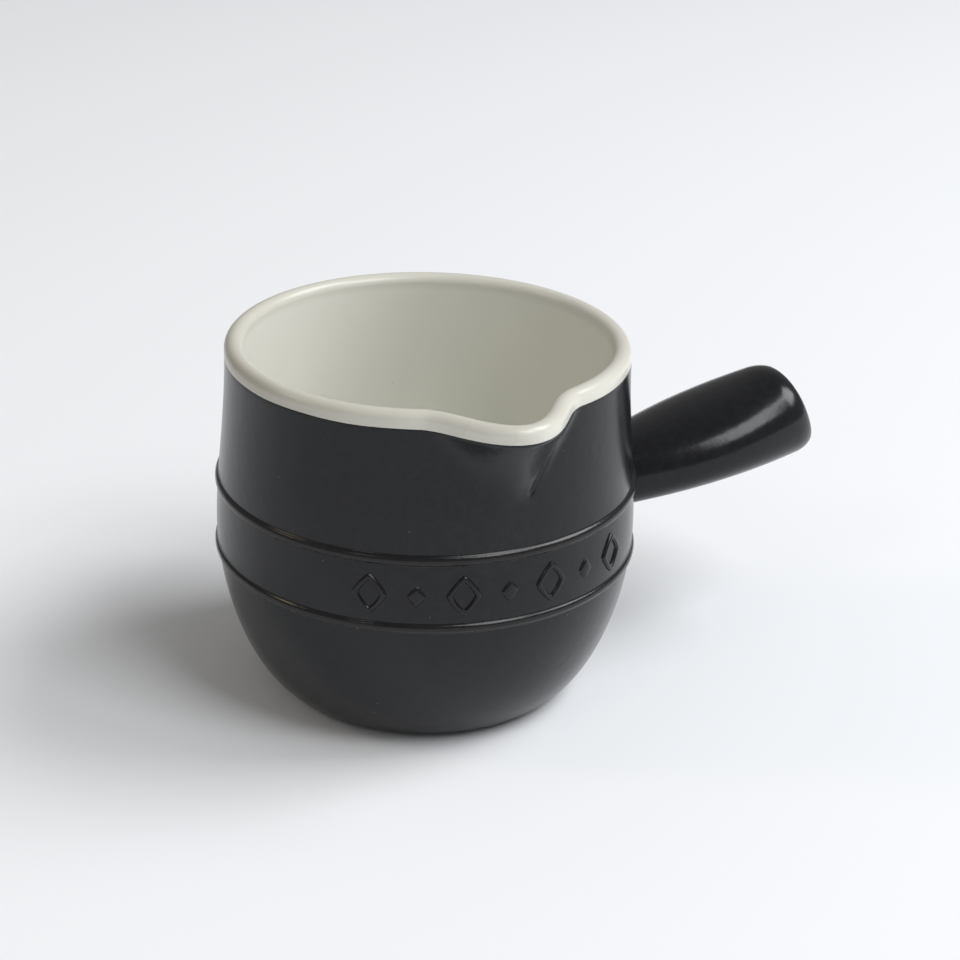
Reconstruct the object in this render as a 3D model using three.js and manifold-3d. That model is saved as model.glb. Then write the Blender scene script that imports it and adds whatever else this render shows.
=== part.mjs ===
// A small stoneware melting pot: a barrel-shaped glazed body with a pulled pouring spout, a white
// glazed inside, two raised ribs with a row of raised lozenges between them, and a stub handle.
//
// Millimetres, +Z up. The origin is the centre of the foot, on the surface that the pot stands on.
// The spout points along -Y and the handle along +X, a quarter turn apart.

import * as THREE from "three";
import { mergeVertices } from "three/addons/utils/BufferGeometryUtils.js";
import Module from "manifold-3d";

const wasm = await Module();
wasm.setup();

const { PI, abs, atan2, cos, hypot, max, min, sign, sin } = Math;
const degrees = PI / 180;

// ---------------------------------------------------------------- driving dimensions

const gap = 0.3; // kept between pieces that meet

// Outside of the body: foot, widest point and glaze line
const footRadius = 40.5;
const footHeight = 0.4; // the dark glaze stops this far above the table
const bellyRadius = 59.8;
const bellyHeight = 50;
const neckRadius = 56.8;
const glazeLine = 99.7; // where the dark glaze meets the white

// Wall and lip
const wall = 5.2; // clay and glaze together, as the lip shows it
const lipHeight = 101.7; // centre of the lip's round top
const glaze = 1.0; // white coat
const core = glaze + gap; // how far the clay stays behind the white coat's face
const floorUnderside = 1.8;
const cornerTop = 14; // the round corner between floor and wall starts below this height

// Spout, pulled out of the rim, with the wall pinched in a little on both sides of it
const spoutReach = 14.4;
const spoutHalfAngle = 25 * degrees;
const spoutDepth = 29; // the pull dies out this far below the glaze line
const spoutFade = 1.4;
const pinch = 1.3;
const pinchHalfAngle = 70 * degrees;

// Foot
const padRadius = 36.7;
const padThickness = 1.5;
const padChamfer = 0.5;

// Ribs
const upperRibHeight = 63.7;
const lowerRibHeight = 43.7;
const ribHalfWidth = 1.6;
const ribProud = 0.8;
const ribSeat = 0.5; // depth of the shallow seat that the rib is luted into

// Row of lozenges, centred under the spout
const reliefHeight = 53.5;
const reliefPitch = 12.2 * degrees;
const reliefProud = 0.8;
const reliefCount = 7;
const lozenge = { width: 9.4, height: 11.4, stroke: 1.4 };
const smallLozenge = { width: 5.0, height: 6.2 };

// Handle, which starts inside the wall
const handleRoot = { x: 50, z: 52.4, halfWidth: 7.8, halfThickness: 9.4 };
const handleEnd = { x: 119.1, z: 67.9, halfWidth: 14.1, halfThickness: 13.1 };
const handleSwell = 7.8; // added to its half width halfway along
const handleLean = 0.4; // slope of its end face, whose top leans back to the pot
const handleSquareness = 2.2; // 2 is an ellipse, and more is squarer
const handleRounding = { length: 6.6, inset: 2.8 }; // edge round its far end

// Fineness of the faceting
const turnSegments = 60;
const crowding = 0.35; // how much closer the segments stand at the spout than on average
const wallRows = 7;
const lipRows = 6;
const cornerRows = 3;
const handleSides = 32;
const handleRows = 10;
const endRows = 5;
const ribRows = 6;
const sideSteps = 3;

// ---------------------------------------------------------------- materials

const material = (color, roughness) =>
  new THREE.MeshStandardMaterial({ color, roughness, metalness: 0 });

const charcoalGlaze = material(0x303134, 0.32);
const whiteGlaze = material(0xdcdad2, 0.25);
const bareClay = material(0xb9a78c, 0.85);

// ---------------------------------------------------------------- solids

// A closed geometry as a manifold solid, with the vertices that its faces share merged.
function solid(geometry) {
  const bare = geometry.clone();
  bare.deleteAttribute("normal");
  bare.deleteAttribute("uv");
  const merged = mergeVertices(bare, 1e-3);
  return new wasm.Manifold(
    new wasm.Mesh({
      numProp: 3,
      vertProperties: merged.attributes.position.array,
      triVerts: new Uint32Array(merged.index.array),
    }),
  );
}

// The geometry of a manifold solid.
function geometryOf(body) {
  const mesh = body.getMesh();
  const geometry = new THREE.BufferGeometry();
  geometry.setAttribute("position", new THREE.BufferAttribute(mesh.vertProperties, 3));
  geometry.setIndex(new THREE.BufferAttribute(mesh.triVerts, 1));
  geometry.computeVertexNormals();
  return geometry;
}

function piece(name, geometry, look) {
  const mesh = new THREE.Mesh(geometry, look);
  mesh.name = name;
  return mesh;
}

// ---------------------------------------------------------------- turned shapes

// How far the spout pulls the wall outwards at an angle from its middle and a height. The pull gets
// narrower and shallower downwards, so that its flanks run together in a V.
function spoutPull(angle, height) {
  const strength = min(1, max(0, 1 - (glazeLine - height) / spoutDepth));
  const swell = (half) => (abs(angle) < half ? cos((PI / 2) * (angle / half)) ** 2 : 0);
  const pulledOut = spoutReach * strength ** spoutFade * swell(spoutHalfAngle * strength);
  return pulledOut - pinch * strength * swell(pinchHalfAngle);
}

// The faces of a turned profile. Each quad is split along the diagonal that rises the same way, so
// that two surfaces which face each other across a gap bend alike and stay clear of each other.
function turnedFaces(profile) {
  const rows = profile.length;
  const faces = [];
  for (let segment = 0; segment < turnSegments; segment++) {
    for (let row = 0; row < rows - 1; row++) {
      const here = segment * rows + row;
      const there = here + rows;
      const rises = profile[row + 1].y >= profile[row].y;
      if (rises) faces.push(here, there, here + 1, there, there + 1, here + 1);
      else faces.push(here, there, there + 1, here, there + 1, here + 1);
    }
  }
  return faces;
}

// Turns a profile (radius, height) about Z, from the axis round to the axis, or closed on itself.
// The segments crowd together towards the spout, whose pull is added to every radius.
function turned(profile) {
  const geometry = new THREE.LatheGeometry(profile, turnSegments);
  geometry.setIndex(turnedFaces(profile));
  geometry.rotateX(PI / 2);
  const place = geometry.attributes.position;
  for (let i = 0; i < place.count; i++) {
    const radius = hypot(place.getX(i), place.getY(i));
    if (radius < 1e-6) continue;
    const even = atan2(place.getX(i), -place.getY(i));
    const angle = even - crowding * sin(even);
    const pulled = radius + spoutPull(angle, place.getZ(i));
    place.setXY(i, pulled * sin(angle), -pulled * cos(angle));
  }
  return geometry;
}

// The outside of the wall, from the foot to the glaze line, in two curves that meet at the belly.
const point = (x, y) => new THREE.Vector2(x, y);
const belly = point(bellyRadius, bellyHeight);
const lowerWall = new THREE.CubicBezierCurve(
  point(footRadius, footHeight),
  point(footRadius + 11.5, footHeight + 6.2),
  point(bellyRadius, bellyHeight - 18.2),
  belly,
);
const upperWall = new THREE.CubicBezierCurve(
  belly,
  point(bellyRadius, bellyHeight + 14.9),
  point(neckRadius + 0.2, glazeLine - 19.9),
  point(neckRadius, glazeLine),
);

// Points of the wall's surface at a depth behind its outside, from the foot up.
function wallSurface(depth) {
  const points = [];
  for (const curve of [lowerWall, upperWall]) {
    for (let row = 0; row <= wallRows; row++) {
      if (row === 0 && curve === upperWall) continue;
      const along = curve.getTangent(row / wallRows);
      const inward = point(-along.y, along.x);
      points.push(curve.getPoint(row / wallRows).addScaledVector(inward, depth));
    }
  }
  return points;
}

// Radius of the body's outside at a height.
function outsideRadius(height) {
  const curve = height < bellyHeight ? lowerWall : upperWall;
  let low = 0;
  let high = 1;
  while (high - low > 1e-6) {
    const middle = (low + high) / 2;
    if (curve.getPoint(middle).y < height) low = middle;
    else high = middle;
  }
  return curve.getPoint(low).x;
}

// A surface inside the pot, parallel to the outside: along the floor from the axis, round the
// corner, and up to the lip's centre height.
function insideSurface(depth) {
  const floor = floorUnderside + depth;
  const firstRow = wallSurface(0).findIndex((p) => p.y > cornerTop);
  const steep = wallSurface(depth).slice(firstRow);
  const slope = steep[1].clone().sub(steep[0]);
  const cornerRadius = steep[0].x - (slope.x / slope.y) * (steep[0].y - floor);
  const reach = steep[0].clone().sub(point(cornerRadius, floor)).length();
  const corner = new THREE.QuadraticBezierCurve(
    point(cornerRadius - reach, floor),
    point(cornerRadius, floor),
    steep[0],
  );
  return [
    point(0, floor),
    ...corner.getPoints(cornerRows),
    ...steep.slice(1),
    point(neckRadius - depth, lipHeight),
  ];
}

// The round top of the lip at a depth behind its face, from the inside over to the outside.
function lipArc(depth) {
  const centre = neckRadius - wall / 2;
  const radius = wall / 2 - depth;
  const points = [];
  for (let row = 1; row < lipRows; row++) {
    const turn = PI * (1 - row / lipRows);
    points.push(point(centre + radius * cos(turn), lipHeight + radius * sin(turn)));
  }
  return points;
}

// ---------------------------------------------------------------- body, lining and foot

// The outside of the clay body, with a shallow seat for each rib.
function outsideWithSeats() {
  const seatHalf = ribHalfWidth + gap;
  const heights = [lowerRibHeight, upperRibHeight];
  const points = wallSurface(0).filter((p) => heights.every((h) => abs(p.y - h) > seatHalf + 1));
  for (const height of heights) {
    const bottom = outsideRadius(height) - ribSeat;
    points.push(
      point(outsideRadius(height - seatHalf), height - seatHalf),
      point(bottom, height - seatHalf + 0.01),
      point(bottom, height + seatHalf - 0.01),
      point(outsideRadius(height + seatHalf), height + seatHalf),
    );
  }
  points.sort((a, b) => a.y - b.y);
  points[points.length - 1].y -= gap / 2;
  return points;
}

function bodyGeometry() {
  const seatRadius = padRadius + gap;
  const ledge = glazeLine - gap / 2;
  return turned([
    point(0, floorUnderside),
    point(seatRadius, floorUnderside),
    point(seatRadius, footHeight),
    ...outsideWithSeats(),
    point(neckRadius - core, ledge),
    point(neckRadius - core, lipHeight),
    ...lipArc(core).reverse(),
    ...insideSurface(wall - core).reverse(),
  ]);
}

function liningGeometry() {
  const edge = glazeLine + gap / 2;
  return turned([
    ...insideSurface(wall - glaze),
    ...lipArc(glaze),
    point(neckRadius - glaze, lipHeight),
    point(neckRadius - glaze, edge),
    point(neckRadius, edge),
    point(neckRadius, lipHeight),
    ...lipArc(0).reverse(),
    ...insideSurface(wall).reverse(),
  ]);
}

function footGeometry() {
  return turned([
    point(0, 0),
    point(padRadius - padChamfer, 0),
    point(padRadius, padChamfer),
    point(padRadius, padThickness),
    point(0, padThickness),
  ]);
}

// ---------------------------------------------------------------- handle

// A solid through rings of points. Each ring has as many points as the last, and a point in its
// middle closes each end.
function lofted(rings) {
  const sides = rings[0].length;
  const middleOf = (ring) =>
    ring.reduce((sum, p) => sum.add(p), new THREE.Vector3()).divideScalar(sides);
  const points = [...rings.flat(), middleOf(rings[0]), middleOf(rings.at(-1))];
  const first = points.length - 2;
  const last = points.length - 1;
  const start = (rings.length - 1) * sides;
  const faces = [];
  for (let side = 0; side < sides; side++) {
    const next = (side + 1) % sides;
    faces.push(first, next, side);
    faces.push(last, start + side, start + next);
    for (let ring = 0; ring < rings.length - 1; ring++) {
      const here = ring * sides;
      const there = here + sides;
      faces.push(here + side, here + next, there + next);
      faces.push(here + side, there + next, there + side);
    }
  }
  const geometry = new THREE.BufferGeometry().setFromPoints(points);
  geometry.setIndex(faces);
  return geometry;
}

// The whole handle, from inside the wall to its rounded end, with its surface moved out by `grow`.
function handleGeometry(grow) {
  const squared = (value) => sign(value) * abs(value) ** (2 / handleSquareness);
  const ring = (x, inset) => {
    const along = (x - handleRoot.x) / (handleEnd.x - handleRoot.x);
    const between = (key) => handleRoot[key] + (handleEnd[key] - handleRoot[key]) * along;
    const swell = 4 * handleSwell * along * (1 - along);
    const halfWidth = between("halfWidth") + swell + grow - inset;
    const halfThickness = between("halfThickness") + grow - inset;
    const points = [];
    for (let side = 0; side < handleSides; side++) {
      const turn = (side / handleSides) * 2 * PI;
      const across = halfWidth * squared(cos(turn));
      const up = halfThickness * squared(sin(turn));
      const leaned = x - handleLean * along * up;
      points.push(new THREE.Vector3(leaned, across, between("z") + up));
    }
    return points;
  };
  const { length, inset } = handleRounding;
  const run = handleEnd.x - length - handleRoot.x;
  const rings = [];
  for (let row = 0; row <= handleRows; row++) {
    rings.push(ring(handleRoot.x + run * (row / handleRows), 0));
  }
  for (let row = 1; row <= endRows; row++) {
    const turn = (row / endRows) * (PI / 2);
    rings.push(ring(handleRoot.x + run + (length + grow) * sin(turn), inset * (1 - cos(turn))));
  }
  return lofted(rings);
}

// The body's outside as a full solid with the gap added, which cuts the handle's root to fit it.
function bodyEnvelope() {
  return turned([point(0, footHeight), ...wallSurface(-gap), point(0, glazeLine)]);
}

// ---------------------------------------------------------------- ribs

// A half-round ring seated in the wall, cut away where the handle's root stands.
function ribGeometry(height) {
  const seat = outsideRadius(height) - ribSeat + gap;
  const crest = outsideRadius(height) + ribProud;
  const profile = [];
  for (let row = 0; row <= ribRows; row++) {
    const turn = PI * (row / ribRows - 0.5);
    profile.push(point(seat + (crest - seat) * cos(turn), height + ribHalfWidth * sin(turn)));
  }
  profile.push(profile[0].clone());
  const ring = solid(turned(profile));
  return geometryOf(ring.subtract(solid(handleGeometry(gap))));
}

// ---------------------------------------------------------------- lozenges

// Points round a lozenge, with each side in steps so that it bends with the wall.
function lozengeOutline(width, height) {
  const corners = [point(width / 2, 0), point(0, height / 2), point(-width / 2, 0), point(0, -height / 2)];
  const points = [];
  corners.forEach((corner, i) => {
    const next = corners[(i + 1) % corners.length];
    for (let step = 0; step < sideSteps; step++) {
      points.push(corner.clone().lerp(next, step / sideSteps));
    }
  });
  return points;
}

// A flat shape made into a low relief on the wall, `angle` round from the spout.
function reliefGeometry(shape, angle) {
  const radius = outsideRadius(reliefHeight);
  const relief = new THREE.ExtrudeGeometry(shape, {
    depth: reliefProud - gap,
    bevelEnabled: false,
  });
  const place = relief.attributes.position;
  for (let i = 0; i < place.count; i++) {
    const turn = angle + place.getX(i) / radius;
    const out = radius + gap + place.getZ(i);
    place.setXYZ(i, out * sin(turn), -out * cos(turn), reliefHeight + place.getY(i));
  }
  return relief;
}

// Outlined lozenges with small filled ones between them.
function lozengeShape(index) {
  if (index % 2) return new THREE.Shape(lozengeOutline(smallLozenge.width, smallLozenge.height));
  const { width, height, stroke } = lozenge;
  const shrink = 1 - (2 * stroke) / (width * height / hypot(width, height));
  const shape = new THREE.Shape(lozengeOutline(width, height));
  shape.holes.push(new THREE.Path(lozengeOutline(width * shrink, height * shrink)));
  return shape;
}

// ---------------------------------------------------------------- the pot

const pot = new THREE.Group();
pot.add(
  piece("pot_body", bodyGeometry(), charcoalGlaze),
  piece("inner_glaze", liningGeometry(), whiteGlaze),
  piece("foot", footGeometry(), bareClay),
  piece(
    "handle",
    geometryOf(solid(handleGeometry(0)).subtract(solid(bodyEnvelope()))),
    charcoalGlaze,
  ),
  piece("upper_rib", ribGeometry(upperRibHeight), charcoalGlaze),
  piece("lower_rib", ribGeometry(lowerRibHeight), charcoalGlaze),
);
for (let index = 0; index < reliefCount; index++) {
  const angle = (index - (reliefCount - 1) / 2) * reliefPitch;
  const relief = reliefGeometry(lozengeShape(index), angle);
  pot.add(piece(`relief_${index + 1}`, relief, charcoalGlaze));
}

export default pot;
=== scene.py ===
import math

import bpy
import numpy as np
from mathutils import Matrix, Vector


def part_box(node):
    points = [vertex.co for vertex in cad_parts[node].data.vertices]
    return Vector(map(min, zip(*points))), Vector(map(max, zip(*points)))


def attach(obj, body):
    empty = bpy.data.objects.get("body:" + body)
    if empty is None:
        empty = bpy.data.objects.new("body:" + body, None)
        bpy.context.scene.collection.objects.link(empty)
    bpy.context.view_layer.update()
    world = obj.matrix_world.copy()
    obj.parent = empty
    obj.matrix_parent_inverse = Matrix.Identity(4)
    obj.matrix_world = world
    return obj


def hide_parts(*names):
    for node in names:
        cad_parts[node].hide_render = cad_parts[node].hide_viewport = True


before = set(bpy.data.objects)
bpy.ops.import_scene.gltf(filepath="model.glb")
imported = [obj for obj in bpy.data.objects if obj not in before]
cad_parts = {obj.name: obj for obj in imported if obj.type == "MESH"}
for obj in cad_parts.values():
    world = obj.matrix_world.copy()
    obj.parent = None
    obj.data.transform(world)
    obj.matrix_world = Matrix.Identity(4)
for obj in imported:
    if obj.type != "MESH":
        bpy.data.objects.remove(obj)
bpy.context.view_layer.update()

# Looks of a small stoneware melting pot: a charcoal glaze outside, a white glaze inside and over
# the lip, two ribs with a row of raised lozenges between them, a pulled spout and a stub handle.
# Shapes are worked out in millimetres and stored in metres, in the CAD model's own frame: +Z up,
# the handle along +X, the spout along -Y. Angles round the pot are counted from the spout.

MM = 0.001
PI = math.pi


def span(node):
    """Lowest and highest corner of a CAD node, in millimetres."""
    low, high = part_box(node)
    return np.array(low) / MM, np.array(high) / MM


# ------------------------------------------------------------------ driving dimensions

BODY_LOW, _ = span("pot_body")
LINING_LOW, LINING_HIGH = span("inner_glaze")
_, PAD_HIGH = span("foot")

FOOT_RADIUS = 40.5
FOOT_HEIGHT = 0.4
BELLY_RADIUS = -BODY_LOW[0]
BELLY_HEIGHT = 50.0
NECK_RADIUS = 56.8
GLAZE_LINE = 99.7
WALL = 5.2
SHELL = 3.9  # how thick the dark body is
COAT = 1.0  # how thick the white coat is
LIP_HEIGHT = LINING_HIGH[2] - WALL / 2
FLOOR_HEIGHT = LINING_LOW[2] + COAT
UNDERSIDE = 1.8
STRAIGHT_ABOVE = 14.0  # the inside follows the outside above this height
CORNER_ROWS = 12  # in the round corner between the wall and the floor
HIDDEN_STEP = 5  # hidden faces take one row in five

SPOUT_REACH = 14.4
SPOUT_HALF_ANGLE = math.radians(25)
SPOUT_DEPTH = 24.5
SPOUT_FADE = 1.5  # the power by which its pull dies out downwards
SPOUT_TIP = 0.2  # its width at the tip, as a share of its width at the glaze line
PINCH = 1.3  # how far the wall draws in beside the spout
PINCH_HALF_ANGLE = math.radians(70)

CREASE_DEPTH = 0.55
CREASE_HALF_WIDTH = 0.9
CREASE_PLACE = 0.71  # as a share of the spout's half angle
CREASE_TOP = (0.92, 0.4)  # the spout strength where it begins, and over which it deepens
CREASE_BOTTOM = (0.14, 0.06)  # and where it ends, and over which it fades

RIB_HALF_WIDTH = 1.3
RIB_PROUD = 0.88
RIB_TURN = math.radians(62)  # how far the bead runs round before its fillet
RIB_FILLET = 0.35  # how far the fillet runs out over the wall
RIB_BURIED = 0.5  # how deep in the wall its back lies
RIB_TUCK = 1.5  # how far it runs on inside the handle's root

HANDLE_ROOT = {"x": 50.0, "z": 52.4, "width": 7.8, "thickness": 9.4}
HANDLE_END = {"x": 119.1, "z": 67.9, "width": 14.1, "thickness": 13.1}
HANDLE_SWELL = 7.8  # added to its half width halfway along
HANDLE_LEAN = 0.4  # how far its end leans back for each millimetre up
HANDLE_SQUARENESS = 2.2
HANDLE_ROUNDING = {"length": 6.6, "inset": 2.8}
HANDLE_FILLET = 2.0
HANDLE_DOME = 0.9  # how far the middle of its end stands out

LOZENGE_RISE = 0.72
LOZENGE_SQUARENESS = 1.22  # 1 has sharp corners, and 2 is an ellipse
LOZENGE_BURIED = 0.4  # how deep in the wall its back lies
LOZENGE_DIP = 0.08  # how deep in the wall the edge of its face lies
OUTLINED_SHAPE = 0.825  # width over height
OUTLINED_STROKE = 0.8  # half width of its bead
OUTLINED_INSET = (0.85, 0.8)  # from its outline to the middle of its bead, across and up
FILLED_SHAPE = 0.82
FILLED_BACK_SHAPE = 0.80

COLUMNS = 480  # round the pot
HANDLE_COLUMNS = 96
LOZENGE_COLUMNS = 96
CROWDING = 0.6  # how much closer the columns stand at the spout


# ------------------------------------------------------------------ meshes

def piece(name, points, faces, slot, nodes, thin=None):
    """A smooth mesh that stands for CAD nodes and rides on the pot's one body. thin says how thin
    the glaze lies at each point, from 0 to 1; on the lining it also holds painted shade."""
    mesh = bpy.data.meshes.new(name)
    mesh.from_pydata((np.asarray(points) * MM).tolist(), [], faces)
    mesh.shade_smooth()
    attribute = mesh.attributes.new("thin", "FLOAT", "POINT")
    values = np.zeros(len(points)) if thin is None else np.asarray(thin, float)
    attribute.data.foreach_set("value", values)
    mesh.update()
    made = bpy.data.objects.new(name, mesh)
    bpy.context.scene.collection.objects.link(made)
    mesh.materials.append(MATERIALS[slot])
    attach(made, "root")
    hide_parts(*nodes)


def ring_faces(rings, columns, closed_section=False):
    """Quads between rings of points. closed_section joins the last ring to the first."""
    here = np.arange(columns)
    there = (here + 1) % columns
    faces = []
    for ring in range(rings if closed_section else rings - 1):
        low = ring * columns
        high = (ring + 1) % rings * columns
        faces += np.stack([low + here, low + there, high + there, high + here], 1).tolist()
    return faces


def poled_solid(rings, start, end):
    """Points and faces of a closed solid through rings, with a point closing each end."""
    count, columns, _ = rings.shape
    points = np.vstack([rings.reshape(-1, 3), start, end])
    faces = ring_faces(count, columns)
    here = np.arange(columns)
    there = (here + 1) % columns
    last = (count - 1) * columns
    pole = count * columns
    faces += np.stack([there, here, np.full(columns, pole)], 1).tolist()
    faces += np.stack([last + here, last + there, np.full(columns, pole + 1)], 1).tolist()
    return points, faces


def bezier(points, steps):
    """Points at even steps along a cubic curve, without its last one."""
    a, b, c, d = np.array(points, float)
    t = (np.arange(steps) / steps)[:, None]
    return (1 - t) ** 3 * a + 3 * (1 - t) ** 2 * t * b + 3 * (1 - t) * t * t * c + t**3 * d


# ------------------------------------------------------------------ the wall and its spout

LOWER_ROWS, UPPER_ROWS = 46, 58
OUTLINE = np.vstack([
    bezier([(FOOT_RADIUS, FOOT_HEIGHT), (FOOT_RADIUS + 11.5, FOOT_HEIGHT + 6.2),
            (BELLY_RADIUS, BELLY_HEIGHT - 18.2), (BELLY_RADIUS, BELLY_HEIGHT)], LOWER_ROWS),
    bezier([(BELLY_RADIUS, BELLY_HEIGHT), (BELLY_RADIUS, BELLY_HEIGHT + 14.9),
            (NECK_RADIUS + 0.2, GLAZE_LINE - 19.9), (NECK_RADIUS, GLAZE_LINE)], UPPER_ROWS),
    [(NECK_RADIUS, GLAZE_LINE)],
])
EVEN = np.arange(COLUMNS) / COLUMNS * 2 * PI - PI
ANGLES = EVEN - CROWDING * np.sin(EVEN)


def outside_radius(height):
    """Radius of the body's outside at a height, away from the spout."""
    return np.interp(height, OUTLINE[:, 1], OUTLINE[:, 0])


def swell(angle, half_angle):
    """A bump that is 1 in the middle and dies out smoothly at half_angle."""
    share = np.clip(np.abs(angle) / np.maximum(half_angle, 1e-6), 0, 1)
    return np.cos(PI / 2 * share) ** 2


def spout_strength(height):
    """The share of the spout's pull that is left at a height: 1 at the glaze line, 0 at its tip."""
    return np.clip(1 - (GLAZE_LINE - height) / SPOUT_DEPTH, 0, 1)


def spout_half_angle(height):
    """Half of the angle that the spout takes up, which narrows downwards to a blunt tip."""
    return SPOUT_HALF_ANGLE * (SPOUT_TIP + (1 - SPOUT_TIP) * spout_strength(height))


def spout_pull(angle, height):
    """How far the spout pulls the wall outwards."""
    strength = spout_strength(height)
    out = SPOUT_REACH * strength**SPOUT_FADE * swell(angle, spout_half_angle(height))
    return out - PINCH * strength * swell(angle, PINCH_HALF_ANGLE)


def crease(angle, height):
    """The thin groove that the potter's finger leaves beside the spout, on the handle's side. It
    runs down from under the lip and stops short at the spout's tip."""
    strength = spout_strength(height)
    line = CREASE_PLACE * spout_half_angle(height)
    away = (angle - line) * NECK_RADIUS / CREASE_HALF_WIDTH
    begins = np.clip((CREASE_TOP[0] - strength) / CREASE_TOP[1], 0, 1)
    ends = np.clip((strength - CREASE_BOTTOM[0]) / CREASE_BOTTOM[1], 0, 1)
    return CREASE_DEPTH * np.exp(-away**2) * begins * ends


def around(radius, angle, height):
    """Points at a radius, an angle from the spout, and a height."""
    radius, angle, height = np.broadcast_arrays(radius, angle, height)
    return np.stack([radius * np.sin(angle), -radius * np.cos(angle), height], -1)


def outer_wall():
    """The wall's outside as rows of points from foot to glaze line: smooth, then with the crease,
    and then the smooth wall's outward normals."""
    radius, height = OUTLINE[:, :1], OUTLINE[:, 1:]
    pulled = radius + spout_pull(ANGLES, height)
    wall = around(pulled, ANGLES, height)
    creased = around(pulled - crease(ANGLES, height), ANGLES, height)
    along = np.roll(wall, -1, axis=1) - np.roll(wall, 1, axis=1)
    up = np.gradient(wall, axis=0)
    normal = np.cross(along, up)
    return wall, creased, normal / np.linalg.norm(normal, axis=2, keepdims=True)


OUTER, CREASED, NORMAL = outer_wall()
LIP_NORMAL = NORMAL[-1] * [1, 1, 0]
LIP_NORMAL /= np.linalg.norm(LIP_NORMAL, axis=1, keepdims=True)
LIP_CENTRE = OUTER[-1] + [0, 0, LIP_HEIGHT - GLAZE_LINE] - LIP_NORMAL * WALL / 2


def lip_arc(depth, start, stop, steps):
    """Rows over the lip at a depth behind its face. Angle 0 is outside, and PI is inside."""
    radius = WALL / 2 - depth
    turns = np.linspace(start, stop, steps)
    return np.stack([
        LIP_CENTRE + radius * (math.cos(t) * LIP_NORMAL + [0, 0, math.sin(t)]) for t in turns
    ])


def inner_wall(depth, bottom, step):
    """Rows from the floor out and up to the glaze line, at a depth behind the wall's outside.
    bottom is the floor's height, and step takes one row in so many."""
    rows = OUTER - NORMAL * depth
    steep = [i for i in range(len(rows)) if OUTLINE[i, 1] > STRAIGHT_ABOVE]
    wall = rows[steep][::step]
    foot = wall[0]
    inward = -foot * [1, 1, 0]
    inward /= np.linalg.norm(inward, axis=1, keepdims=True)
    slope = (wall[1] - wall[0]) / (wall[1] - wall[0])[:, 2:]
    knee = foot - slope * (foot[:, 2:] - bottom)
    reach = np.linalg.norm(foot - knee, axis=1, keepdims=True)
    start = knee + inward * reach
    corner = []
    for t in np.linspace(0, 1, CORNER_ROWS // step + 2)[:-1]:
        corner.append((1 - t) ** 2 * start + 2 * (1 - t) * t * knee + t * t * foot)
    middle = [start * [s, s, 1] for s in (0.25, 0.5, 0.75)]
    return np.concatenate([middle, corner, wall])


# ------------------------------------------------------------------ body, lining and foot

def body():
    """The dark-glazed body. Its rim slips in behind the white coat."""
    seat = PAD_HIGH[0] + 0.3
    base = [around(r, ANGLES, z) for r, z in (
        (seat * 0.5, UNDERSIDE), (seat, UNDERSIDE), (seat, FOOT_HEIGHT + 0.3),
        (seat + 0.4, FOOT_HEIGHT), (FOOT_RADIUS - 1.2, FOOT_HEIGHT - 0.05))]
    slip = ((0.0, 0.03), (0.3, 0.12), (0.8, 0.4), (1.4, 0.8), (2.0, 1.3))
    rim = [OUTER[-1] + [0, 0, rise] - LIP_NORMAL * depth for rise, depth in slip]
    under_rim = [i for i in range(len(OUTLINE)) if OUTLINE[i, 1] < GLAZE_LINE - 0.3]
    outside = CREASED[under_rim]
    core = lip_arc(slip[-1][1], 0.2, PI, 7)
    inside = inner_wall(SHELL, UNDERSIDE + SHELL, HIDDEN_STEP)[::-1]
    rings = np.concatenate([base, outside, rim, core, inside])
    points, faces = poled_solid(rings, [0, 0, UNDERSIDE], [0, 0, UNDERSIDE + SHELL])
    piece("body_shell", points, faces, "charcoal_glaze", ["pot_body"])


def lining():
    """The white coat: floor, wall and lip, with its soft edge outside at the glaze line. It is thin
    on the lip. On the side away from the handle, which faces away from the lights, the lip is
    painted darker and beige, partly as thinner glaze run off there and partly as painted shade."""
    inside = inner_wall(WALL, FLOOR_HEIGHT, 1)
    over = lip_arc(0, PI, 0, 33)
    # the edge wanders a little up and down round the pot
    wave = 0.10 * np.sin(5 * ANGLES + 1.0) + 0.07 * np.sin(13 * ANGLES + 2.2)
    edge = []
    for rise, depth in ((0.45, 0.0), (0.15, 0.04), (0.0, 0.2), (-0.02, 0.5)):
        height = (rise + wave)[:, None] * [0, 0, 1]
        edge.append(OUTER[-1] + height - LIP_NORMAL * depth)
    back = lip_arc(COAT, 0, PI, 7)
    hidden = inner_wall(WALL - COAT, FLOOR_HEIGHT - COAT, HIDDEN_STEP)[::-1]
    rings = np.concatenate([inside, over, edge, back, hidden])
    turns = np.linspace(PI, 0, len(over))[:, None]
    # this darkens the lip towards the side away from the lights: partly glaze run-off, partly
    # painted shade
    run_off_and_shade = np.cos(turns / 2) ** 4 * np.clip(-np.sin(ANGLES), 0, 1) ** 2
    thin = np.zeros(rings.shape[:2])
    first, last = len(inside), len(inside) + len(over)
    thin[first:last] = 0.5 * np.sin(turns / 2 + PI / 4) ** 2 + 0.6 * run_off_and_shade
    thin[last:last + len(edge)] = thin[last - 1]
    points, faces = poled_solid(rings, [0, 0, FLOOR_HEIGHT], [0, 0, FLOOR_HEIGHT - COAT])
    faces = [face[::-1] for face in faces]
    piece("white_lining", points, faces, "white_glaze", ["inner_glaze"],
          np.append(thin.ravel(), [0, 0]))


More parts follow.
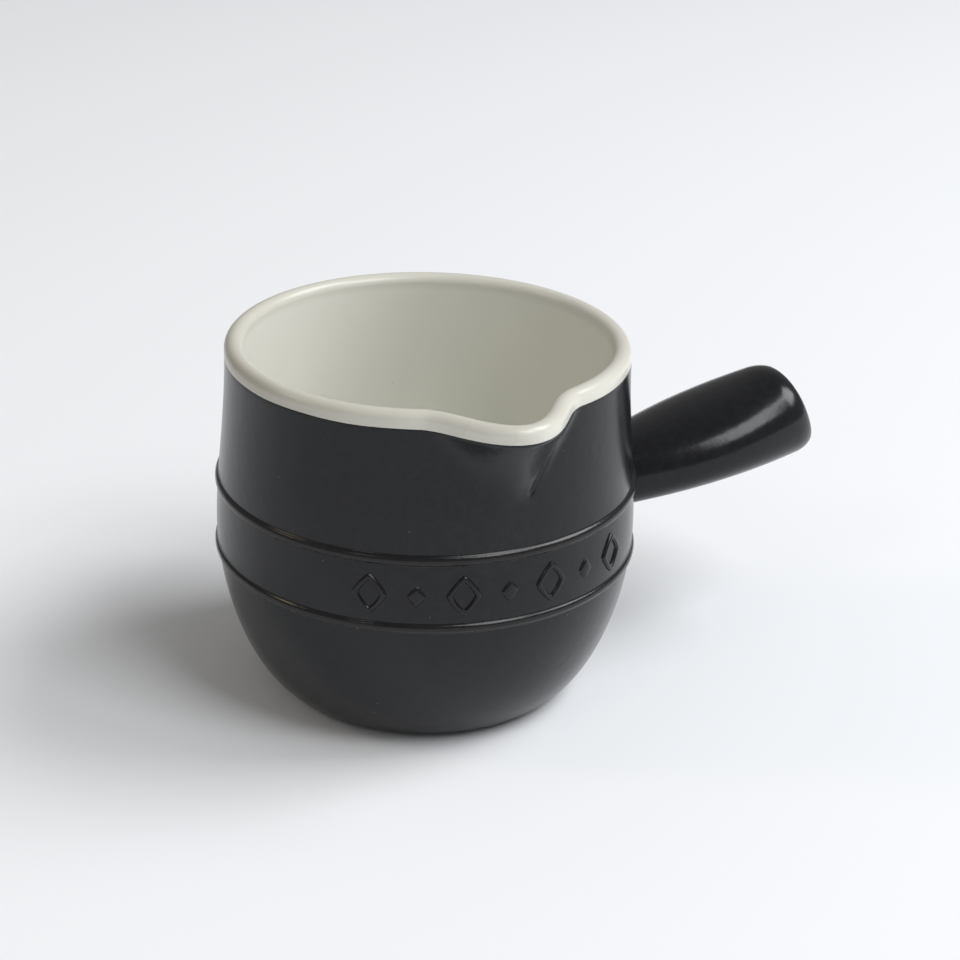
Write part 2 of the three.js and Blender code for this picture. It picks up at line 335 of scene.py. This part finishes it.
def foot():
    """The bare clay pad that the pot stands on."""
    radius, top = PAD_HIGH[0], PAD_HIGH[2]
    section = [(radius * 0.5, 0), (radius - 1.0, 0)]
    for turn in np.linspace(0, PI / 2, 5)[1:]:
        section.append((radius - 0.5 + 0.5 * math.sin(turn), 0.5 - 0.5 * math.cos(turn)))
    section += [(radius, top), (radius * 0.5, top)]
    rings = np.stack([around(r, ANGLES, z) for r, z in section])
    points, faces = poled_solid(rings, [0, 0, 0], [0, 0, top])
    piece("foot_pad", points, faces, "bare_clay", ["foot"])


# ------------------------------------------------------------------ ribs

def rib_profile():
    """Half of a rib's outline, from its crest down to the wall: height off its middle, and rise."""
    turn = np.linspace(0, RIB_TURN, 10)
    bead = np.stack([RIB_HALF_WIDTH * np.sin(turn), RIB_PROUD * np.cos(turn)], 1)
    edge = bead[-1]
    corner = [edge[0] + edge[1] / math.tan(RIB_TURN) * RIB_HALF_WIDTH / RIB_PROUD, 0]
    landing = [corner[0] + RIB_FILLET, -0.03]
    t = np.linspace(0, 1, 6)[1:, None]
    fillet = (1 - t) ** 2 * edge + 2 * (1 - t) * t * corner + t * t * landing
    return np.vstack([bead, fillet])


def rib(name, node):
    """A raised rib with a small fillet on both sides. It ends inside the handle's root, or runs
    all the way round where it passes clear of it."""
    low, high = span(node)
    height = (low[2] + high[2]) / 2
    half = rib_profile()
    outline = np.vstack([half[::-1], half[1:] * [-1, 1]])
    heights = height + outline[:, 0]
    radii = outside_radius(heights) + outline[:, 1]
    back = outside_radius(height) - RIB_BURIED
    radii = np.append(radii, [back, back])
    heights = np.append(heights, [heights[-1], heights[0]])
    thin = np.append(np.clip(outline[:, 1] / RIB_PROUD, 0, 1) ** 3, [0, 0])
    half_root = handle_half_width(height) - RIB_TUCK
    if half_root > 0:
        turn_off = math.asin(half_root / BELLY_RADIUS)
        angles = PI / 2 + np.linspace(turn_off, 2 * PI - turn_off, COLUMNS)
        slices = around(radii, angles[:, None], heights)[:, ::-1]
        points, faces = poled_solid(slices, slices[0].mean(0), slices[-1].mean(0))
        thin = np.append(np.tile(thin[::-1], COLUMNS), [0, 0])
    else:
        points = around(radii[:, None], EVEN, heights[:, None]).reshape(-1, 3)
        faces = ring_faces(len(radii), COLUMNS, closed_section=True)
        thin = np.repeat(thin, COLUMNS)
    piece(name, points, faces, "charcoal_glaze", [node], thin)


# ------------------------------------------------------------------ handle

def squared(value, squareness):
    """A sine or cosine, bent so that the circle it draws turns into a superellipse."""
    return np.sign(value) * np.abs(value) ** (2 / squareness)


def handle_section(x, turn, inset=0.0, scale=1.0):
    """Points of the handle's outline at a station x. Sections lean more towards the far end."""
    along = (x - HANDLE_ROOT["x"]) / (HANDLE_END["x"] - HANDLE_ROOT["x"])
    middle, width, thickness = (
        HANDLE_ROOT[key] + (HANDLE_END[key] - HANDLE_ROOT[key]) * along
        for key in ("z", "width", "thickness"))
    width = width + 4 * HANDLE_SWELL * along * (1 - along)
    across = scale * (width - inset) * squared(np.cos(turn), HANDLE_SQUARENESS)
    up = scale * (thickness - inset) * squared(np.sin(turn), HANDLE_SQUARENESS)
    return np.stack([x - HANDLE_LEAN * along * up, across, middle + up], -1)


def handle_half_width(height):
    """Half of the handle root's width at a height, or a negative number past its edge."""
    section = handle_section(np.full(721, BELLY_RADIUS), np.linspace(-PI / 2, PI / 2, 721))
    if not section[0, 2] < height < section[-1, 2]:
        return -1.0
    return np.interp(height, section[:, 2], section[:, 1])


def wall_x(y, z):
    """Where the wall's outside stands in front of a point on the handle's side."""
    return np.sqrt(outside_radius(z) ** 2 - y**2)


def handle():
    """A swelling stub handle with a soft fillet round its root and a rounded, domed end."""
    turn = np.arange(HANDLE_COLUMNS) / HANDLE_COLUMNS * 2 * PI
    rings = []
    for away in (-0.6, 0.0, 0.12, 0.3, 0.55, 0.9, 1.4, 2.0, 3.0, 4.5):
        x = np.full(HANDLE_COLUMNS, BELLY_RADIUS)
        for _ in range(8):  # slides the ring along until it stands off the wall by away
            ring = handle_section(x, turn)
            x = x + wall_x(ring[:, 1], ring[:, 2]) + away - ring[:, 0]
        along = np.roll(ring, -1, axis=0) - np.roll(ring, 1, axis=0)
        out = np.stack([np.zeros(HANDLE_COLUMNS), along[:, 2], -along[:, 1]], -1)
        out /= np.linalg.norm(out, axis=1, keepdims=True)
        near = HANDLE_FILLET - min(max(away, 0), HANDLE_FILLET)
        grow = HANDLE_FILLET - math.sqrt(HANDLE_FILLET**2 - near**2)
        ring = ring + out * grow
        ring[:, 0] = wall_x(ring[:, 1], ring[:, 2]) + away
        rings.append(ring)
    length, inset = HANDLE_ROUNDING["length"], HANDLE_ROUNDING["inset"]
    short = HANDLE_END["x"] - length
    for share in np.linspace(0, 1, 37)[1:]:  # from the last of those rings to the rounded end
        rings.append(handle_section(x * (1 - share) + short * share, turn))
    for bend in np.linspace(0, PI / 2, 15)[1:]:
        station = np.full(HANDLE_COLUMNS, short + length * math.sin(bend))
        rings.append(handle_section(station, turn, inset * (1 - math.cos(bend))))
    for scale in (0.97, 0.9, 0.78, 0.6, 0.4, 0.2):
        dome = HANDLE_DOME * (1 - scale**2)
        station = np.full(HANDLE_COLUMNS, HANDLE_END["x"])
        rings.append(handle_section(station, turn, inset, scale) + [dome, 0, HANDLE_LEAN * dome])
    start = rings[0].mean(0)
    tip = rings[-1].mean(0)
    points, faces = poled_solid(np.stack(rings), start, tip)
    piece("stub_handle", points, faces, "charcoal_glaze", ["handle"])


# ------------------------------------------------------------------ lozenges

def on_wall(x, y, rise, angle, height):
    """Bends a flat shape on to the wall, round an angle and a height."""
    heights = height + y
    radius = outside_radius(heights)
    return around(radius + rise, angle + x / radius, heights)


def relief_place(node):
    """Where a lozenge's middle is, as an angle and a height, and half of how tall it is."""
    low, high = span(node)
    middle = (low + high) / 2
    return math.atan2(middle[0], -middle[1]), middle[2], (high[2] - low[2]) / 2


def rounded_lozenge(half_width, half_height):
    """A lozenge with soft corners, as across and up."""
    turn = np.arange(LOZENGE_COLUMNS) / LOZENGE_COLUMNS * 2 * PI
    across = half_width * squared(np.cos(turn), LOZENGE_SQUARENESS)
    up = half_height * squared(np.sin(turn), LOZENGE_SQUARENESS)
    return across, up


def outlined_lozenge(name, node):
    """A lozenge drawn with a rounded bead."""
    angle, height, half = relief_place(node)
    slant = 1.25  # the bead's width across or up, over its width square to the stroke
    wide = half * OUTLINED_SHAPE - OUTLINED_INSET[0]
    tall = half - OUTLINED_INSET[1]
    share = np.sin(np.linspace(-PI / 2, PI / 2, 11))
    rise = LOZENGE_RISE * (1 - np.abs(share) ** 3) ** 1.1
    rise[[0, -1]] = -LOZENGE_DIP
    offsets = np.append(share, [1, -1]) * OUTLINED_STROKE * slant
    rises = np.append(rise, [-LOZENGE_BURIED, -LOZENGE_BURIED])
    rings = []
    for offset, up in zip(offsets, rises):
        x, y = rounded_lozenge(wide + offset, tall + offset)
        rings.append(on_wall(x, y, up, angle, height))
    faces = ring_faces(len(rings), LOZENGE_COLUMNS, closed_section=True)
    thin = np.clip(rises, 0, 1) ** 2
    piece(name, np.concatenate(rings), faces, "charcoal_glaze", [node],
          np.repeat(thin, LOZENGE_COLUMNS))


def filled_lozenge(name, node):
    """A small cushioned lozenge."""
    angle, height, half = relief_place(node)
    x, y = rounded_lozenge(half * FILLED_BACK_SHAPE, half)
    rings = [on_wall(x, y, -LOZENGE_BURIED, angle, height)]
    scales = np.array([1.0, 0.97, 0.93, 0.87, 0.79, 0.68, 0.5, 0.25])
    rises = LOZENGE_RISE * (1 - scales**5) ** 1.1
    rises[0] = -LOZENGE_DIP
    for scale, up in zip(scales, rises):
        x, y = rounded_lozenge(half * FILLED_SHAPE * scale, half * scale)
        rings.append(on_wall(x, y, up, angle, height))
    top = on_wall(0, 0, LOZENGE_RISE, angle, height)
    back = on_wall(0, 0, -LOZENGE_BURIED, angle, height)
    points, faces = poled_solid(np.stack(rings), back, top)
    thin = np.append(np.repeat([0, *np.clip(rises, 0, 1)], LOZENGE_COLUMNS), [0, 0.7])
    piece(name, points, faces, "charcoal_glaze", [node], thin**2)


# ------------------------------------------------------------------ materials

class Nodes:
    """A material's node tree, with a short way to add and join nodes."""

    def __init__(self, name):
        self.material = bpy.data.materials.new(name)
        self.material.use_nodes = True
        self.tree = self.material.node_tree
        self.shader = self.tree.nodes["Principled BSDF"]
        self.place = self.add("ShaderNodeTexCoord").outputs["Object"]

    def add(self, kind, inputs=None, **settings):
        node = self.tree.nodes.new(kind)
        for key, value in settings.items():
            setattr(node, key, value)
        for key, value in (inputs or {}).items():
            if isinstance(value, bpy.types.NodeSocket):
                self.tree.links.new(value, node.inputs[key])
            else:
                node.inputs[key].default_value = value
        return node

    def noise(self, scale, detail):
        inputs = {"Vector": self.place, "Scale": scale, "Detail": detail}
        return self.add("ShaderNodeTexNoise", inputs).outputs["Fac"]

    def attribute(self, name):
        return self.add("ShaderNodeAttribute", attribute_name=name).outputs["Fac"]

    def math(self, operation, a, b):
        return self.add("ShaderNodeMath", {0: a, 1: b}, operation=operation).outputs[0]

    def remap(self, value, from_low, from_high, to_low, to_high):
        node = self.add("ShaderNodeMapRange", {
            "Value": value, "From Min": from_low, "From Max": from_high,
            "To Min": to_low, "To Max": to_high})
        return node.outputs["Result"]

    def mix(self, share, a, b):
        node = self.add("ShaderNodeMix", data_type="RGBA")
        for socket, value in zip((node.inputs["Factor"], *color_inputs(node)), (share, a, b)):
            if isinstance(value, bpy.types.NodeSocket):
                self.tree.links.new(value, socket)
            else:
                socket.default_value = value if isinstance(value, float) else (*value, 1.0)
        return [s for s in node.outputs if s.type == "RGBA"][0]

    def spots(self, cell, size, rarity):
        """1 inside small round spots, one in some of the cells, and 0 elsewhere."""
        cells = self.add("ShaderNodeTexVoronoi", {"Vector": self.place, "Scale": cell})
        inside = self.remap(cells.outputs["Distance"], size * 0.6, size, 1.0, 0.0)
        red = self.add("ShaderNodeSeparateColor", {"Color": cells.outputs["Color"]}).outputs[0]
        return self.math("MULTIPLY", inside, self.math("LESS_THAN", red, rarity))

    def bump(self, layers):
        """Bumps one over the other: (height, strength, distance)."""
        normal = None
        for height, strength, distance in layers:
            inputs = {"Height": height, "Strength": strength, "Distance": distance}
            if normal is not None:
                inputs["Normal"] = normal
            normal = self.add("ShaderNodeBump", inputs).outputs["Normal"]
        self.tree.links.new(normal, self.shader.inputs["Normal"])

    def set(self, **values):
        for key, value in values.items():
            socket = self.shader.inputs[key.replace("_", " ")]
            if isinstance(value, bpy.types.NodeSocket):
                self.tree.links.new(value, socket)
            else:
                socket.default_value = value


def color_inputs(node):
    """The two colours that a Mix node takes."""
    return [s for s in node.inputs if s.type == "RGBA"]


def charcoal_glaze():
    """A semi-gloss charcoal glaze: cloudy, with an orange-peel skin, pinholes dented and painted
    darker as shade in their pits, pale dust specks, and thinner and browner where it runs off
    raised edges."""
    n = Nodes("charcoal_glaze")
    cloud = n.remap(n.noise(38, 1.5), 0.2, 0.8, 0.0, 1.0)
    color = n.mix(cloud, (0.0048, 0.0052, 0.0064), (0.0080, 0.0084, 0.0098))
    mottle = n.remap(n.noise(430, 1.0), 0.40, 0.70, 0.0, 0.6)
    color = n.mix(mottle, color, (0.0115, 0.0119, 0.0133))
    color = n.mix(n.math("MULTIPLY", n.attribute("thin"), 0.30), color, (0.022, 0.019, 0.016))
    pinholes_and_shade = n.spots(300, 0.10, 0.06)
    # pinholes are dented, and their pits are painted darker as shade
    color = n.mix(pinholes_and_shade, color, (0.004, 0.004, 0.004))
    dust = n.spots(420, 0.10, 0.05)
    color = n.mix(n.math("MULTIPLY", dust, 0.6), color, (0.20, 0.20, 0.19))
    rough = n.remap(n.noise(55, 1.0), 0.2, 0.8, 0.18, 0.24)
    rough = n.math("ADD", rough, n.math("MULTIPLY", dust, 0.3))
    n.set(Base_Color=color, Roughness=rough, IOR=1.39)
    n.bump([
        (n.noise(95, 1.5), 0.30, 0.00020),
        (n.noise(380, 1.0), 0.45, 0.00009),
        (pinholes_and_shade, -0.6, 0.0001),
    ])
    return n.material


def white_glaze():
    """A glossy off-white glaze with a warm cast, thin and beige along the lip and painted darker
    there as shade on the side away from the lights, with iron specks.
    """
    n = Nodes("white_glaze")
    cloud = n.remap(n.noise(26, 1.0), 0.15, 0.85, 0.0, 1.0)
    color = n.mix(cloud, (0.742, 0.739, 0.676), (0.752, 0.751, 0.692))
    # the beige follows the thin attribute: thin glaze along the lip, and on the side away from the
    # lights partly painted shade
    edge = n.math("MULTIPLY", n.attribute("thin"), n.remap(n.noise(45, 1.0), 0.2, 0.8, 0.7, 0.9))
    color = n.mix(edge, color, (0.34, 0.305, 0.235))
    specks = n.spots(300, 0.06, 0.05)
    color = n.mix(n.math("MULTIPLY", specks, 0.4), color, (0.20, 0.15, 0.10))
    rough = n.remap(n.noise(40, 1.0), 0.2, 0.8, 0.24, 0.28)
    n.set(Base_Color=color, Roughness=rough, IOR=1.45)
    n.bump([
        (n.noise(60, 0.0), 0.12, 0.00020),
        (specks, -0.4, 0.0001),
    ])
    return n.material


def bare_clay():
    """Bare buff stoneware: matt, sandy, and rubbed a little darker."""
    n = Nodes("bare_clay")
    cloud = n.remap(n.noise(60, 4.0), 0.3, 0.7, 0.0, 1.0)
    color = n.mix(cloud, (0.42, 0.33, 0.22), (0.52, 0.42, 0.30))
    grog = n.spots(900, 0.30, 0.25)
    color = n.mix(n.math("MULTIPLY", grog, 0.6), color, (0.24, 0.18, 0.12))
    rough = n.remap(n.noise(200, 3.0), 0.3, 0.7, 0.75, 0.95)
    n.set(Base_Color=color, Roughness=rough, IOR=1.5)
    n.bump([(n.noise(1400, 3.0), 0.5, 0.00015), (grog, 0.3, 0.0001)])
    return n.material


MATERIALS = {
    "charcoal_glaze": charcoal_glaze(),
    "white_glaze": white_glaze(),
    "bare_clay": bare_clay(),
}

body()
lining()
foot()
rib("rib_upper", "upper_rib")
rib("rib_lower", "lower_rib")
handle()
for number in range(1, 8):
    make = outlined_lozenge if number % 2 else filled_lozenge
    make(f"lozenge_{number}", f"relief_{number}")


# ------------------------------------------------------------------ camera, floor and light

CAMERA_DISTANCE = 0.660  # in metres, as the aim is
CAMERA_AZIMUTH = math.radians(-22.5)
CAMERA_ELEVATION = math.radians(24.85)
CAMERA_ROLL = math.radians(1.63)
AIM_HEIGHT = 0.0537
AIM_RIGHT = 0.01552
AIM_UP = 0.00641
LENS = 85.97


def camera():
    """A long lens, a little above the pot, with the pot left of and below the frame's middle."""
    back = Vector((
        math.sin(CAMERA_AZIMUTH) * math.cos(CAMERA_ELEVATION),
        -math.cos(CAMERA_AZIMUTH) * math.cos(CAMERA_ELEVATION),
        math.sin(CAMERA_ELEVATION)))
    target = Vector((0, 0, AIM_HEIGHT))
    place = target + back * CAMERA_DISTANCE
    right = Vector((0, 0, 1)).cross(back).normalized()
    up = back.cross(right)
    look = (target + right * AIM_RIGHT + up * AIM_UP - place).normalized()
    turned = look.to_track_quat("-Z", "Y").to_matrix() @ Matrix.Rotation(CAMERA_ROLL, 3, "Z")
    data = bpy.data.cameras.new("camera")
    data.lens = LENS
    made = bpy.data.objects.new("camera", data)
    made.matrix_world = Matrix.Translation(place) @ turned.to_4x4()
    bpy.context.scene.collection.objects.link(made)
    bpy.context.scene.camera = made


def floor():
    """A wide pale floor."""
    half = 4.0
    mesh = bpy.data.meshes.new("floor")
    corners = [(-half, -half, 0), (half, -half, 0), (half, half, 0), (-half, half, 0)]
    mesh.from_pydata(corners, [], [(0, 1, 2, 3)])
    material = bpy.data.materials.new("floor")
    material.use_nodes = True
    shader = material.node_tree.nodes["Principled BSDF"]
    shader.inputs["Base Color"].default_value = (0.84, 0.855, 0.88, 1)
    shader.inputs["Roughness"].default_value = 0.8
    shader.inputs["Specular IOR Level"].default_value = 0.2
    mesh.materials.append(material)
    made = bpy.data.objects.new("floor", mesh)
    made.location = (0, 0, -0.0002)  # just clear of the foot
    bpy.context.scene.collection.objects.link(made)


def area_light(name, azimuth, elevation, distance, size, power, color):
    """A rectangular soft light that faces the pot. Azimuths are counted as the camera's are."""
    data = bpy.data.lights.new(name, "AREA")
    data.shape = "RECTANGLE"
    data.size, data.size_y = size
    data.energy = power
    data.color = color
    a, e = math.radians(azimuth), math.radians(elevation)
    back = Vector((math.sin(a) * math.cos(e), -math.cos(a) * math.cos(e), math.sin(e)))
    made = bpy.data.objects.new(name, data)
    made.location = Vector((0, 0, 0.06)) + back * distance
    made.rotation_euler = (-back).to_track_quat("-Z", "Y").to_euler()
    bpy.context.scene.collection.objects.link(made)


def sky():
    """A dim room, a little brighter at eye height than overhead."""
    world = bpy.data.worlds.new("studio")
    world.use_nodes = True
    tree = world.node_tree
    place = tree.nodes.new("ShaderNodeTexCoord")
    split = tree.nodes.new("ShaderNodeSeparateXYZ")
    ramp = tree.nodes.new("ShaderNodeMapRange")
    tree.links.new(place.outputs["Generated"], split.inputs[0])
    tree.links.new(split.outputs["Z"], ramp.inputs["Value"])
    for key, value in (("From Min", 0.0), ("From Max", 0.9), ("To Min", 0.31), ("To Max", 0.25)):
        ramp.inputs[key].default_value = value
    back = tree.nodes["Background"]
    back.inputs["Color"].default_value = (1, 1, 1, 1)
    tree.links.new(ramp.outputs["Result"], back.inputs["Strength"])
    bpy.context.scene.world = world


camera()
floor()
sky()
area_light("window_front", 27, 52, 3.0, (1.25, 1.60), 41, (0.98, 0.99, 1.0))
area_light("window_side", 76, 47, 3.0, (1.45, 1.65), 60, (0.98, 0.99, 1.0))
area_light("lamp_left", -110, 38, 3.0, (0.60, 0.60), 5.2, (1.0, 0.84, 0.58))
area_light("lamp_front", -59, 40, 3.0, (0.40, 0.40), 2.5, (1.0, 0.95, 0.88))
bpy.context.scene.view_settings.view_transform = "Standard"
